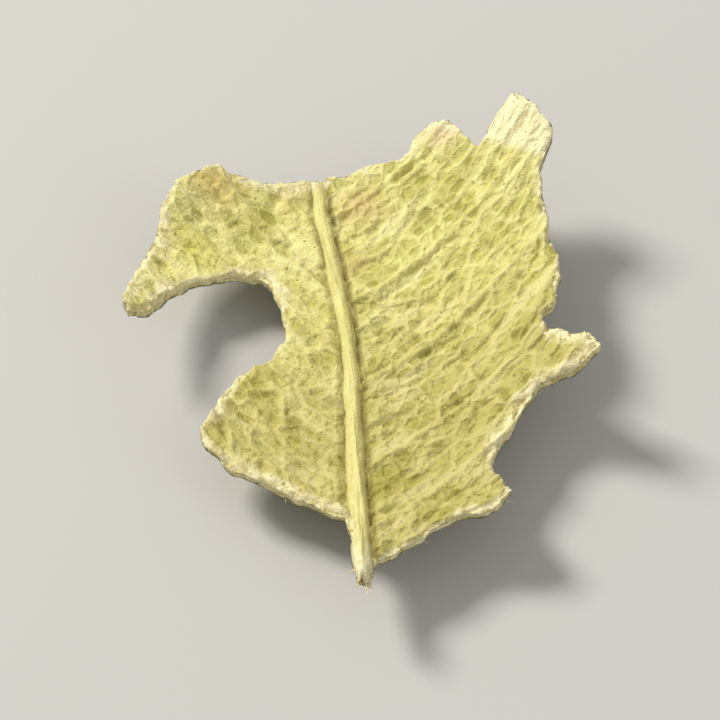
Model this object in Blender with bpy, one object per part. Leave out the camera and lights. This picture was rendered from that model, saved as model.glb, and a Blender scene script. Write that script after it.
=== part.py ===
"""A dried, cut piece of a lemon myrtle leaf.

The piece lies on its belly with the leaf's paler underside up, so the raised midrib, the side
veins and the net between them face the viewer.  +Y runs along the midrib towards the leaf's
tip, +X to its right, and the origin is under the middle of the piece on the surface it rests on.

One blade is cut out of the torn outline, split into triangles that follow the veins, extruded
down to the leaf's other face, and bent into the shallow cup that the leaf dried in.  It rests on
three low points where that other face has puckered.
"""
import math
import random

import bmesh
import bpy
from mathutils import Vector
from mathutils.geometry import delaunay_2d_cdt

# Driving dimensions, in millimetres
MM = 0.001
CLOSE = 1e-6                # points nearer than this count as one
BLADE = 0.62                # thickness of the blade between the veins
SIGHT = math.radians(52)    # angle between the table and the line along which the outline is drawn
ORIGIN = (0.106, -1.406)    # middle of the piece's box, in the outline's own plan

# The cup that the leaf dried in
CUP_X, CUP_LEAN = -0.15, -0.09  # where the cup's axis stands at y = 0, and how it leans with y
CURL_ACROSS = 0.085         # rise for each square millimetre away from the midrib
CURL_ALONG = 0.030          # rise for each square millimetre along it
BELLY_Y = -1.0              # where along the midrib the cup is lowest
BELLY_DEPTH = 0.13          # how much of the cup's bottom is pressed flat
BELLY_BLEND = 0.12          # how softly the flat runs out into the cup
SLOPE_STEP = 0.01           # the step over which the blade's slope is measured
FEET = ((-1.19, 0.51), (1.81, 0.11), (0.65, -3.10))  # the three low points, in plan
FOOT_DEPTH, FOOT_REACH = 0.16, 0.60
WAVE = 0.012                # rise of the edges' waves for each square millimetre off the midrib
WAVE_LENGTH = 3.9
TOOTH = (2.75, 3.55)        # the tooth at the upper right, turned up
TOOTH_LIFT, TOOTH_REACH = 0.45, 0.95
ARM = (-3.7, 0.1)           # the end of the arm on the left, drooping
ARM_LIFT, ARM_REACH = -0.34, 1.3

# Ribs and net, raised on the underside of the leaf
MIDRIB_HALF, MIDRIB_HEIGHT = 0.27, 0.36
MIDRIB_TAPER = 0.035        # share of both lost with each millimetre towards the tip
GROOVE_DEPTH = 0.10         # the groove behind the midrib, in the leaf's other face
VEIN_HALF, VEIN_HEIGHT = 0.17, 0.13
VEIN_ANGLE = math.radians(56)
VEIN_BEND = 0.05            # how much a side vein turns towards the tip, for each square millimetre
VEINS_LEFT = (-4.6, -2.9, -1.15, 0.55, 2.2)
VEINS_RIGHT = (-5.0, -3.7, -2.0, -0.3, 1.5)
RIB_STEP, VEIN_POINTS = 0.28, 18        # points along a rib, and how many make up a side vein
MIDRIB_ROW = (-1, -0.6, 0, 0.6, 1)      # points across the midrib, in shares of its half width
VEIN_ROW = (-1, 0, 1)
RIB_ROOM, NET_ROOM = 1.3, 1.4           # how many half widths other points keep off a rib
FIELD_LONG, FIELD_WIDE = 0.60, 0.50     # one field of the net, along and across the side veins
FIELD_ROWS, FIELD_PLACES = range(-24, 16), range(-1, 10)
FIELD_SHAKE = 0.09
NET_HALF, NET_HEIGHT = 0.09, 0.09
FIELD_RING = 0.55           # where a field's floor starts, from its centre to its corners
EDGE_GAP = 0.09             # how far the net keeps off the torn edge
SEED = 5
LEAF_COLOUR = (0.60, 0.55, 0.19, 1)

# The torn edge
RAGGED_STEP = 0.20
RAGGED = 0.045

# The midrib's route and the outline, across and up in the plane square to the line of sight
MIDRIB = [(0.17, -4.10), (0.08, -2.90), (0.02, -1.90), (-0.02, -0.90), (-0.15, 0.15),
          (-0.38, 1.15), (-0.55, 1.95), (-0.62, 2.70)]
OUTLINE = [
    # the arm at the upper left, and the top edge
    (-3.12, 2.16), (-3.00, 2.44), (-2.67, 2.61), (-2.22, 2.71), (-1.91, 2.55), (-1.48, 2.44),
    (-0.39, 2.55), (0.57, 2.77), (0.88, 2.93),
    # the small tooth and the turned-up tooth
    (1.01, 3.22), (1.29, 3.45), (1.60, 3.51), (1.83, 3.33), (2.07, 3.08), (2.22, 3.32),
    (2.40, 3.67), (2.65, 3.94), (2.91, 3.78), (3.30, 3.33),
    # down the right edge to the pointed tooth
    (3.24, 2.96), (3.10, 2.61), (3.18, 1.95), (3.37, 1.05), (3.26, 0.33), (3.06, 0.16),
    (3.22, -0.04), (3.82, -0.12), (3.96, -0.31), (3.74, -0.55),
    # the slanting lower right edge
    (3.00, -0.96), (2.75, -1.29), (2.32, -1.95), (2.20, -2.20), (2.50, -2.57), (2.32, -2.79),
    (1.40, -3.12), (0.57, -3.57),
    # the stub of the midrib
    (0.37, -3.72), (0.34, -3.98), (0.02, -3.96), (-0.02, -3.70), (-0.14, -3.04),
    # the lower left edge
    (-0.47, -2.94), (-1.25, -2.59), (-2.03, -2.22), (-2.34, -1.93), (-2.46, -1.62),
    (-2.26, -1.35), (-1.89, -0.82), (-1.33, -0.49),
    # the deep notch under the arm
    (-1.15, -0.23), (-1.19, 0.08), (-1.37, 0.59), (-1.52, 0.74), (-1.91, 0.78), (-2.73, 0.60),
    (-3.39, 0.21), (-3.63, 0.16), (-3.74, 0.39), (-3.69, 0.72), (-3.32, 1.40), (-3.24, 1.76),
]


def bump(x, y, centre, reach):
    """A round swelling, 1 at its centre."""
    return math.exp(-((x - centre[0]) ** 2 + (y - centre[1]) ** 2) / reach ** 2)


def cup(x, y):
    """How far the dried leaf rises from its flat belly at a point of the plan."""
    across = x - CUP_X - CUP_LEAN * y
    curl = CURL_ACROSS * across ** 2 + CURL_ALONG * (y - BELLY_Y) ** 2
    wave = WAVE * across ** 2 * math.sin(math.tau * y / WAVE_LENGTH + across)
    lift = TOOTH_LIFT * bump(x, y, TOOTH, TOOTH_REACH) + ARM_LIFT * bump(x, y, ARM, ARM_REACH)
    rise = max(0.0, curl + wave + lift - BELLY_DEPTH)
    return rise ** 2 / (rise + BELLY_BLEND)


def height(x, y):
    """How high the underside of the leaf, which faces up, stands without its veins."""
    return FOOT_DEPTH + BLADE + cup(x, y)


def under(x, y):
    """How high the leaf's other face stands; on a slope the blade keeps its thickness."""
    dx = (cup(x + SLOPE_STEP, y) - cup(x - SLOPE_STEP, y)) / (2 * SLOPE_STEP)
    dy = (cup(x, y + SLOPE_STEP) - cup(x, y - SLOPE_STEP)) / (2 * SLOPE_STEP)
    return height(x, y) - BLADE * math.sqrt(1 + dx * dx + dy * dy)


def pucker(x, y):
    """How far the other face swells down to one of the three points that it rests on."""
    near = min(FEET, key=lambda foot: math.dist(foot, (x, y)))
    return under(*near) * max(0.0, 1 - math.dist(near, (x, y)) / FOOT_REACH)


def laid_back(across, up):
    """Set a point of the drawing back along the line of sight onto the curled blade."""
    y = up / math.sin(SIGHT)
    for _ in range(12):
        y = (up - height(across, y) * math.cos(SIGHT)) / math.sin(SIGHT)
    return Vector((across, y))


def stepped(points, step):
    """The same line with a point at least every step."""
    line = []
    for start, end in zip(points, points[1:]):
        count = max(1, round((end - start).length / step))
        line += [start.lerp(end, i / count) for i in range(count)]
    return line + [points[-1]]


def torn_outline(chance):
    """The outline in plan: its own points, and between them the small steps of a torn edge."""
    drawn = [laid_back(*point) for point in OUTLINE]
    torn = []
    for start, end in zip(drawn, drawn[1:] + drawn[:1]):
        along = (end - start).normalized()
        inward = Vector((along.y, -along.x))
        count = max(1, round((end - start).length / RAGGED_STEP))
        torn.append(start)
        for i in range(1, count):
            shake = inward * chance.uniform(-RAGGED, RAGGED) + along * chance.uniform(-RAGGED, RAGGED)
            torn.append(start.lerp(end, i / count) + shake)
    return torn


def off_segment(point, start, end):
    """Distance of a point from a straight piece of line."""
    run = end - start
    part = max(0.0, min(1.0, (point - start).dot(run) / run.length_squared))
    return (point - start - run * part).length


def off_line(point, line):
    """Distance of a point from a line of several pieces."""
    return min(off_segment(point, a, b) for a, b in zip(line, line[1:]))


def inside(point, outline):
    """Whether a point of the plan lies in the outline."""
    odd = False
    for a, b in zip(outline, outline[1:] + outline[:1]):
        if (a.y > point.y) != (b.y > point.y):
            odd ^= point.x < a.x + (point.y - a.y) * (b.x - a.x) / (b.y - a.y)
    return odd


def midrib_x(y, midrib):
    """Where the midrib stands at a height of the plan."""
    for a, b in zip(midrib, midrib[1:]):
        if a.y <= y <= b.y:
            return a.x + (b.x - a.x) * (y - a.y) / (b.y - a.y)
    return midrib[0].x if y < midrib[0].y else midrib[-1].x


def side_vein(y, side, midrib):
    """A side vein's line: out of the midrib, and bending towards the tip."""
    root = Vector((midrib_x(y, midrib), y))
    line = []
    for i in range(VEIN_POINTS):
        run = RIB_STEP * i
        line.append(root + Vector((side * run * math.sin(VEIN_ANGLE),
                                   run * math.cos(VEIN_ANGLE) + VEIN_BEND * run ** 2)))
    return line


def field_centres(chance, midrib):
    """Centres of the net's fields, in staggered rows along the side veins, shaken a little."""
    centres = []
    for side in (-1, 1):
        along = Vector((side * math.sin(VEIN_ANGLE), math.cos(VEIN_ANGLE))) * FIELD_LONG
        across = Vector((0, FIELD_WIDE / math.sin(VEIN_ANGLE)))
        for row in FIELD_ROWS:
            for place in FIELD_PLACES:
                shake = Vector((chance.uniform(-1, 1), chance.uniform(-1, 1))) * FIELD_SHAKE
                centre = along * (place + row % 2 / 2) + across * row + shake
                if side * (centre.x - midrib_x(centre.y, midrib)) > MIDRIB_HALF:
                    centres.append(centre)
    return centres


def circumcentre(a, b, c):
    """The point as far from each of three points."""
    d = 2 * (a.x * (b.y - c.y) + b.x * (c.y - a.y) + c.x * (a.y - b.y))
    aa, bb, cc = a.length_squared, b.length_squared, c.length_squared
    return Vector(((aa * (b.y - c.y) + bb * (c.y - a.y) + cc * (a.y - b.y)) / d,
                   (aa * (c.x - b.x) + bb * (a.x - c.x) + cc * (b.x - a.x)) / d))


def net(centres):
    """The net between the veins: the corners that its lines join, the lines, and its fields' floors."""
    _, _, triangles, *_ = delaunay_2d_cdt(centres, [], [], 0, CLOSE)
    corners = [circumcentre(*(centres[i] for i in triangle)) for triangle in triangles]
    floors = list(centres)
    beside = {}
    for number, triangle in enumerate(triangles):
        floors += [centres[i].lerp(corners[number], FIELD_RING) for i in triangle]
        for pair in zip(triangle, triangle[1:] + triangle[:1]):
            beside.setdefault(frozenset(pair), []).append(number)
    lines = [numbers for numbers in beside.values() if len(numbers) == 2]
    return corners, lines, floors


def ridge(distance, half, rise):
    """The rounded profile of a vein."""
    return rise * max(0.0, 1 - (distance / half) ** 2)


class Leaf:
    """The plan of the piece: its torn outline, its ribs and the fields of its net."""

    def __init__(self):
        chance = random.Random(SEED)
        self.outline = torn_outline(chance)
        self.midrib = [laid_back(*point) for point in MIDRIB]
        self.veins = [side_vein(y, -1, self.midrib) for y in VEINS_LEFT]
        self.veins += [side_vein(y, 1, self.midrib) for y in VEINS_RIGHT]
        self.centres = field_centres(chance, self.midrib)

    def relief(self, point):
        """How high the veins stand above the blade at a point."""
        near, second = sorted((point - centre).length for centre in self.centres)[:2]
        rises = [ridge(second - near, 2 * NET_HALF, NET_HEIGHT)]
        rises += [ridge(off_line(point, vein), VEIN_HALF, VEIN_HEIGHT) for vein in self.veins]
        taper = 1 - MIDRIB_TAPER * (point.y - self.midrib[0].y)
        rises.append(ridge(off_line(point, self.midrib), MIDRIB_HALF * taper, MIDRIB_HEIGHT * taper))
        return max(rises)

    def groove(self, point):
        """How deep the other face is grooved behind the midrib."""
        return ridge(off_line(point, self.midrib), MIDRIB_HALF, GROOVE_DEPTH)

    def rib_points(self):
        """Points across each rib, from foot to foot, in rows along it."""
        ribs = [(self.midrib, MIDRIB_HALF, MIDRIB_ROW)]
        ribs += [(vein, VEIN_HALF, VEIN_ROW) for vein in self.veins]
        points = []
        for number, (line, half, shares) in enumerate(ribs):
            route = stepped(line, RIB_STEP)
            for before, here, after in zip(route[:1] + route, route, route[1:] + route[-1:]):
                aside = (after - before).normalized().orthogonal() * half
                row = [here + aside * share for share in shares]
                points += [p for p in row if self.off_ribs(p, RIB_ROOM, ribs[:number])]
        return points

    def off_ribs(self, point, clearance, ribs):
        """Whether a point keeps off these ribs, by so many times their half width."""
        return all(off_line(point, line) > half * clearance for line, half, _ in ribs)

    def free(self, point):
        """Whether a point of the net lies inside the torn edge and clear of the ribs."""
        edge = self.outline + self.outline[:1]
        ribs = [(self.midrib, MIDRIB_HALF, ())] + [(vein, VEIN_HALF, ()) for vein in self.veins]
        kept_in = inside(point, self.outline) and off_line(point, edge) > EDGE_GAP
        return kept_in and self.off_ribs(point, NET_ROOM, ribs)

    def split(self):
        """The plan's points and its triangles, which follow the edge, the ribs and the net."""
        edge = self.outline + self.outline[:1]
        ribs = [p for p in self.rib_points() if inside(p, self.outline) and off_line(p, edge) > EDGE_GAP]
        corners, lines, floors = net(self.centres)
        kept = [number for number, corner in enumerate(corners) if self.free(corner)]
        points = self.outline + [corners[number] for number in kept]
        place = {number: len(self.outline) + i for i, number in enumerate(kept)}
        joined = [(i, (i + 1) % len(self.outline)) for i in range(len(self.outline))]
        joined += [(place[a], place[b]) for a, b in lines
                   if a in place and b in place and self.free(corners[a].lerp(corners[b], 0.5))]
        points += ribs + [Vector(foot) for foot in FEET]
        points += [floor for floor in floors if self.free(floor)]
        plan, _, triangles, *_ = delaunay_2d_cdt(points, joined, [], 1, CLOSE)
        return plan, triangles


def build_blade(leaf):
    """The closed blade: split in plan, extruded, and each face set to its own height."""
    plan, triangles = leaf.split()
    shape = bmesh.new()
    upper = [shape.verts.new((point.x, point.y, 0)) for point in plan]
    for triangle in triangles:
        shape.faces.new([upper[i] for i in triangle])
    copy = bmesh.ops.extrude_face_region(shape, geom=shape.faces[:], use_keep_orig=True)
    lower = [item for item in copy["geom"] if isinstance(item, bmesh.types.BMVert)]
    for vert in lower:
        vert.co.z = under(*vert.co.xy) + leaf.groove(vert.co.xy) - pucker(*vert.co.xy)
    for vert in upper:
        vert.co.z = height(*vert.co.xy) + leaf.relief(vert.co.xy)
    bmesh.ops.recalc_face_normals(shape, faces=shape.faces)
    bmesh.ops.triangulate(shape, faces=shape.faces[:])
    bmesh.ops.translate(shape, vec=(-ORIGIN[0], -ORIGIN[1], 0), verts=shape.verts)
    bmesh.ops.scale(shape, vec=(MM, MM, MM), verts=shape.verts)
    return shape


def leaf_material():
    """Dried leaf: a dull yellow green."""
    material = bpy.data.materials.new("dried_leaf")
    material.use_nodes = True
    surface = material.node_tree.nodes["Principled BSDF"]
    surface.inputs["Base Color"].default_value = LEAF_COLOUR
    surface.inputs["Roughness"].default_value = 0.62
    surface.inputs["Metallic"].default_value = 0.0
    material.diffuse_color = LEAF_COLOUR
    return material


def main():
    for thing in list(bpy.data.objects):
        bpy.data.objects.remove(thing, do_unlink=True)
    parts = bpy.data.collections.new("lemon_myrtle_leaf_piece")
    bpy.context.scene.collection.children.link(parts)

    mesh = bpy.data.meshes.new("leaf_piece")
    shape = build_blade(Leaf())
    shape.to_mesh(mesh)
    shape.free()
    mesh.materials.append(leaf_material())
    piece = bpy.data.objects.new("leaf_piece", mesh)
    parts.objects.link(piece)


main()
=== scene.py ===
# %% [markdown]
# # One dried piece of lemon myrtle leaf
#
# Leaves for tea are dried whole and then cut, which leaves flakes a few millimetres across. This
# file dresses one such flake. A plain solid of it, at its true size and place, is loaded as a frame,
# and the looks are built round it: a thin torn blade with its veins, the oil glands in it, and the
# fibres that stand out of its tears.
#
# The file is a lesson in cells. Each step is told first and then made, and each code cell prints
# what it made or measured.

import math
from collections import namedtuple

import bmesh
import bpy
import numpy as np
from mathutils import Matrix, Vector, kdtree, noise
from mathutils.geometry import delaunay_2d_cdt


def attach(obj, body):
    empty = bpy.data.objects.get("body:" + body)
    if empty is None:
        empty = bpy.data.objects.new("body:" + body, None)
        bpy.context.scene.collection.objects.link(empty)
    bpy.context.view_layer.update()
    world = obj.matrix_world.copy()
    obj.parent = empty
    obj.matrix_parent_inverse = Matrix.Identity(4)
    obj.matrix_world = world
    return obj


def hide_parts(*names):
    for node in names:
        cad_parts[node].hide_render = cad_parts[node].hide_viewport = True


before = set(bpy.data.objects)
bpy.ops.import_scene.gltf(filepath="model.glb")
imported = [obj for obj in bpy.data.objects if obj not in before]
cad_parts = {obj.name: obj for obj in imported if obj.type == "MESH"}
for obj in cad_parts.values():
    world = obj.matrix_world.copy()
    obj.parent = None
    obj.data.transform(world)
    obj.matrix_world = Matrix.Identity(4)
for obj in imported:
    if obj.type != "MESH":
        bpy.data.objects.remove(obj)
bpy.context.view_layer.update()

# %% [markdown]
# ## Millimetres, and the leaf's own plan
#
# Blender counts in metres, but a leaf is easier to think of in millimetres. So every mesh here is
# made in millimetres, in the plan that the leaf was drawn in, and only its last step brings it to
# the frame's metres and to the frame's origin.

# %% Units
MM = 0.001
CLOSE = 1e-6                # points nearer than this are one
ORIGIN = (0.106, -1.406)    # middle of the piece's box, in the plan
TO_FRAME = Matrix.Scale(MM, 4) @ Matrix.Translation((-ORIGIN[0], -ORIGIN[1], 0))


def settle_in_frame(piece):
    """Bring a piece made in the plan's millimetres to the frame's metres."""
    piece.data.transform(TO_FRAME)
    piece.data.update()


def new_piece(name, mesh):
    """An object for a mesh, in the scene."""
    piece = bpy.data.objects.new(name, mesh)
    bpy.context.scene.collection.objects.link(piece)
    return piece


print("Plan to frame: 1 mm is", MM, "m, origin at", ORIGIN)

# %% [markdown]
# ## The cup that the leaf dried in
#
# A leaf curls as it dries, up on both sides of its midrib and a little along it. The flake keeps
# that cup: it is lowest under its middle, its edges wave, one tooth is turned up at the upper right
# and the arm on the left droops.
#
# Such a shape could be sculpted. A formula was chosen instead, because the plain solid uses the same
# one, so the fine blade and the solid agree everywhere. It works on whole arrays at once, which
# makes it quick for many thousands of points.

# %% The cup
CUP_X, CUP_LEAN = -0.15, -0.09          # where the cup is lowest, and how that line leans
CURL_ACROSS, CURL_ALONG = 0.085, 0.030
BELLY_Y, BELLY_DEPTH, BELLY_BLEND = -1.0, 0.13, 0.12
WAVE, WAVE_LENGTH = 0.012, 3.9          # the edges' wave, and the length of one
TOOTH, TOOTH_LIFT, TOOTH_REACH = (2.75, 3.55), 0.45, 0.95
ARM, ARM_LIFT, ARM_REACH = (-3.7, 0.1), -0.34, 1.3
FOOT_DEPTH, BLADE = 0.16, 0.62          # room for the feet under the belly, and the solid's thickness
SLOPE_STEP = 0.01


def bump(x, y, centre, reach):
    """A round swelling, 1 at its centre."""
    return np.exp(-((x - centre[0]) ** 2 + (y - centre[1]) ** 2) / reach ** 2)


def cup(x, y):
    """How far the dried leaf rises above its belly."""
    across = x - CUP_X - CUP_LEAN * y
    curl = CURL_ACROSS * across ** 2 + CURL_ALONG * (y - BELLY_Y) ** 2
    wave = WAVE * across ** 2 * np.sin(math.tau * y / WAVE_LENGTH + across)
    lift = TOOTH_LIFT * bump(x, y, TOOTH, TOOTH_REACH) + ARM_LIFT * bump(x, y, ARM, ARM_REACH)
    rise = np.maximum(0, curl + wave + lift - BELLY_DEPTH)
    return rise ** 2 / (rise + BELLY_BLEND)


def slant(x, y):
    """How much longer an upright line through the blade is where the blade slopes."""
    dx = (cup(x + SLOPE_STEP, y) - cup(x - SLOPE_STEP, y)) / (2 * SLOPE_STEP)
    dy = (cup(x, y + SLOPE_STEP) - cup(x, y - SLOPE_STEP)) / (2 * SLOPE_STEP)
    return np.sqrt(1 + dx ** 2 + dy ** 2)


print("The tooth stands", round(float(cup(*TOOTH)), 2), "mm above the belly, the arm",
      round(float(cup(*ARM)), 2), "mm")

# %% [markdown]
# ## The lines of the veins
#
# The midrib runs up the flake, a little to the left near its tip. Side veins leave it at 56 degrees
# and bend towards the tip. Both could be curves with a thickness. But a later step raises the blade
# itself near them, so plain chains of edges, lying in the plan, are enough.
#
# The midrib was read in the plane square to the line of sight, so its points are first laid back onto
# the blade. Where a point lands depends on the blade's height there, and that height on where it
# lands, so the sum is repeated until it settles.

# %% Midrib and side veins
SIGHT = math.radians(52)
LAYING_ROUNDS = 12
MIDRIB = [(0.17, -4.10), (0.08, -2.90), (0.02, -1.90), (-0.02, -0.90), (-0.15, 0.15),
          (-0.38, 1.15), (-0.55, 1.95), (-0.62, 2.70)]
VEIN_ANGLE, VEIN_BEND = math.radians(56), 0.05
VEINS_LEFT = (-4.6, -2.9, -1.15, 0.55, 2.2)
VEINS_RIGHT = (-5.0, -3.7, -2.0, -0.3, 1.5)
RIB_STEP, VEIN_POINTS = 0.28, 18


def laid_back(across, up):
    """Set a point seen by the viewer back along the line of sight onto the blade."""
    y = up / math.sin(SIGHT)
    for _ in range(LAYING_ROUNDS):
        y = (up - (FOOT_DEPTH + BLADE + cup(across, y)) * math.cos(SIGHT)) / math.sin(SIGHT)
    return across, float(y)


def side_vein(root_y, side):
    """A side vein's points, out of the midrib and bending towards the tip."""
    root_x = np.interp(root_y, *zip(*((y, x) for x, y in midrib_points)))
    run = RIB_STEP * np.arange(VEIN_POINTS)
    return list(zip(root_x + side * run * math.sin(VEIN_ANGLE),
                    root_y + run * math.cos(VEIN_ANGLE) + VEIN_BEND * run ** 2))


def lines_object(name, lines):
    """Chains of edges lying in the plan."""
    mesh = bpy.data.meshes.new(name)
    starts = np.cumsum([0] + [len(line) for line in lines])
    edges = [(start + i, start + i + 1) for start, line in zip(starts, lines) for i in range(len(line) - 1)]
    mesh.from_pydata([(*point, 0) for line in lines for point in line], edges, [])
    return new_piece(name, mesh)


midrib_points = [laid_back(*point) for point in MIDRIB]
midrib_line = lines_object("midrib_line", [midrib_points])
vein_lines = lines_object("vein_lines", [side_vein(y, -1) for y in VEINS_LEFT]
                          + [side_vein(y, 1) for y in VEINS_RIGHT])
print("Midrib from", midrib_points[0], "to", midrib_points[-1])

# %% [markdown]
# ## The torn line
#
# The flake's outline is read from the frame, so it can't drift from the solid: it is the closed line
# where the solid's upper face meets its walls. The frame's mesh is loose triangles, so a copy is
# welded first, and the edges that have one face looking up and one looking sideways are chained.
#
# A tear is never smooth at this scale. The line is walked in steps of a few hundredths of a
# millimetre, and each point is set inwards by a noise that depends on its place alone. At the midrib's
# two torn ends, where its strands broke one by one, the nicks are deeper. All of them go inwards, so
# that the blade stays within the solid.

# %% The outline of the frame's solid
LOOKING_UP = 0.05           # a face whose normal rises more than this looks up


def solid_outline(node):
    """The line round the upper face of the solid, counter-clockwise, in the plan's millimetres."""
    solid = bmesh.new()
    solid.from_mesh(node.data)
    bmesh.ops.remove_doubles(solid, verts=solid.verts, dist=CLOSE)
    beside = {}
    for edge in solid.edges:
        if sorted(face.normal.z > LOOKING_UP for face in edge.link_faces) == [False, True]:
            upper = next(face for face in edge.link_faces if face.normal.z > LOOKING_UP)
            if any(abs(face.normal.z) < LOOKING_UP for face in edge.link_faces if face != upper):
                for end in edge.verts:
                    beside.setdefault(end, []).append(edge.other_vert(end))
    line = [min(beside, key=lambda vert: vert.co.y)]
    line.append(max(beside[line[0]], key=lambda vert: vert.co.x))
    while line[-1] != line[0]:
        line.append(next(vert for vert in beside[line[-1]] if vert != line[-2]))
    outline = np.array([vert.co.xy for vert in line[:-1]]) / MM + ORIGIN
    solid.free()
    return outline


outline = solid_outline(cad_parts["leaf_piece"])
print("The solid's outline has", len(outline), "points")

# %% The torn edge
EDGE_STEP = 0.036
EDGE_SPAN = 2                           # points on either side that give the edge its direction
FRAY, FRAY_SCALE = 0.055, 3.2           # depth of the larger nicks, and how many fit a millimetre
NICK, NICK_SCALE = 0.030, 11.0
SPLINTER, SPLINTER_SCALE = 0.24, 13.0   # deeper nicks at the midrib's two torn ends
SPLINTER_REACH = 0.42


def stepped_round(line, step):
    """A closed line with evenly spaced points."""
    closed = np.vstack([line, line[:1]])
    run = np.concatenate([[0], np.cumsum(np.linalg.norm(np.diff(closed, axis=0), axis=1))])
    at = np.linspace(0, run[-1], round(run[-1] / step), endpoint=False)
    return np.column_stack([np.interp(at, run, closed[:, axis]) for axis in (0, 1)])


def chance(x, y, scale):
    """Smooth noise from 0 to 1 that depends on the place alone."""
    return 0.5 + 0.5 * noise.noise(Vector((x, y, 0)) * scale)


def torn(line):
    """The line set inwards by small chance amounts, as a tear through dry leaf is."""
    along = np.roll(line, -EDGE_SPAN, axis=0) - np.roll(line, EDGE_SPAN, axis=0)
    inward = np.column_stack([-along[:, 1], along[:, 0]]) / np.linalg.norm(along, axis=1)[:, None]
    fray, nick, splinter = (np.array([chance(x, y, scale) for x, y in line])
                            for scale in (FRAY_SCALE, NICK_SCALE, SPLINTER_SCALE))
    at_ends = sum(bump(*line.T, end, SPLINTER_REACH) for end in (midrib_points[0], midrib_points[-1]))
    depth = FRAY * fray ** 2 + NICK * nick + SPLINTER * splinter ** 2 * at_ends
    return line + inward * depth[:, None]


torn_edge = torn(stepped_round(outline, EDGE_STEP))
print("The torn edge has", len(torn_edge), "points")

# %% [markdown]
# ## The blade's mesh
#
# The blade is one closed body. It could be a grid cut by a Boolean, but the cut would leave slivers
# along the tear. So the plan is triangulated inside the torn line, over rows of evenly staggered
# points. One copy of it is the upper face and one the lower face of a slab of height 1, and a wall of
# several rows joins them. The wall is built in a fixed order, because the fibres that are scattered on
# it later fall in the same places only if its faces are numbered alike in each run.
#
# The slab's height of 1 is useful later: a point's height says how far it is from the lower face, 0,
# to the upper face, 1, and it is kept on the mesh as the attribute `level`.

# %% Points inside the tear
GRAIN = 0.034                           # distance between the points of the blade's mesh
ROW = GRAIN * math.sqrt(0.75)           # between its rows, so that its triangles are even
EDGE_ROOM = 0.7                         # how near the tear an inner point may come, in grains


def finder(line):
    """Finds the nearest point of a line."""
    tree = kdtree.KDTree(len(line))
    for number, point in enumerate(line):
        tree.insert((*point, 0), number)
    tree.balance()
    return tree


def staggered_rows(edge):
    """Points in staggered rows inside the edge, clear of it."""
    ends = np.roll(edge, -1, axis=0)
    low, high = edge.min(axis=0), edge.max(axis=0)
    points = []
    for row, y in enumerate(np.arange(low[1], high[1], ROW)):
        cut = (edge[:, 1] > y) != (ends[:, 1] > y)
        a, b = edge[cut], ends[cut]
        crossings = np.sort(a[:, 0] + (y - a[:, 1]) * (b[:, 0] - a[:, 0]) / (b[:, 1] - a[:, 1]))
        x = np.arange(low[0], high[0], GRAIN) + row % 2 * GRAIN / 2
        points += [(across, y, 0) for across in x[np.searchsorted(crossings, x) % 2 == 1]]
    near = finder(edge)
    return [Vector(point) for point in points if near.find(point)[2] > EDGE_ROOM * GRAIN]


inner_points = staggered_rows(torn_edge)
print(len(inner_points), "points lie inside the torn edge")

# %% A slab cut out along the tear
WALL_CUTS = 5


def sides_of(triangle):
    """A triangle's three sides, each from point to point."""
    return list(zip(triangle, triangle[1:] + triangle[:1]))


def joined(triangles, start):
    """The triangles that hang together by their sides. A crumb cut off by the tear is left out."""
    owner = {side: number for number, triangle in enumerate(triangles) for side in sides_of(triangle)}
    found, ahead = {start}, [start]
    while ahead:
        for a, b in sides_of(triangles[ahead.pop()]):
            beyond = owner.get((b, a), start)
            if beyond not in found:
                found.add(beyond)
                ahead.append(beyond)
    return [triangles[number] for number in sorted(found)]


def cut_slab(edge, inner):
    """A closed slab of height 1 whose plan is the inside of the edge."""
    points = [Vector(point) for point in edge] + [point.xy for point in inner]
    ring = [(i, (i + 1) % len(edge)) for i in range(len(edge))]
    plan, _, triangles, *_ = delaunay_2d_cdt(points, ring, [], 1, CLOSE)
    inside = next(number for number, triangle in enumerate(triangles) if min(triangle) >= len(edge))
    triangles = joined(triangles, inside)
    sides = [side for triangle in triangles for side in sides_of(triangle)]
    known = set(sides)
    outer = [(a, b) for a, b in sides if (b, a) not in known]
    used = sorted({i for side in sides for i in side})
    slab = bmesh.new()
    top, low = ({i: slab.verts.new((*plan[i], height)) for i in used} for height in (1, 0))
    for triangle in triangles:
        slab.faces.new([top[i] for i in triangle])
        slab.faces.new([low[i] for i in reversed(triangle)])
    columns = {a: [top[a], *(slab.verts.new((*plan[a], 1 - row / (WALL_CUTS + 1)))
                             for row in range(1, WALL_CUTS + 1)), low[a]] for a, _ in outer}
    for a, b in outer:
        for row in range(WALL_CUTS + 1):
            slab.faces.new([columns[b][row], columns[a][row], columns[a][row + 1], columns[b][row + 1]])
    mesh = bpy.data.meshes.new("leaf_blade")
    slab.to_mesh(mesh)
    slab.free()
    return mesh


blade_mesh = cut_slab(torn_edge, inner_points)
print("The slab has", len(blade_mesh.vertices), "points and", len(blade_mesh.polygons), "faces")

# %% [markdown]
# ## Bent into the cup, and thin at its edge
#
# A dried leaf of this kind is about 0.3 mm thick, and where it is torn it thins out. The solid is
# thicker, because thin walls are hard to test. So the blade is 0.1 to 0.2 mm thick along its tear,
# where its thickness shows, and grows to the solid's further in, where nobody sees it.
#
# It rests on three low points, as the solid does. At each of these feet the lower face is puckered
# down to the table, a soft swelling with pleats round it.
#
# Each point's distance from the tear is kept on the mesh too, as `rim`, for the torn tissue and its
# colour.

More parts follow.
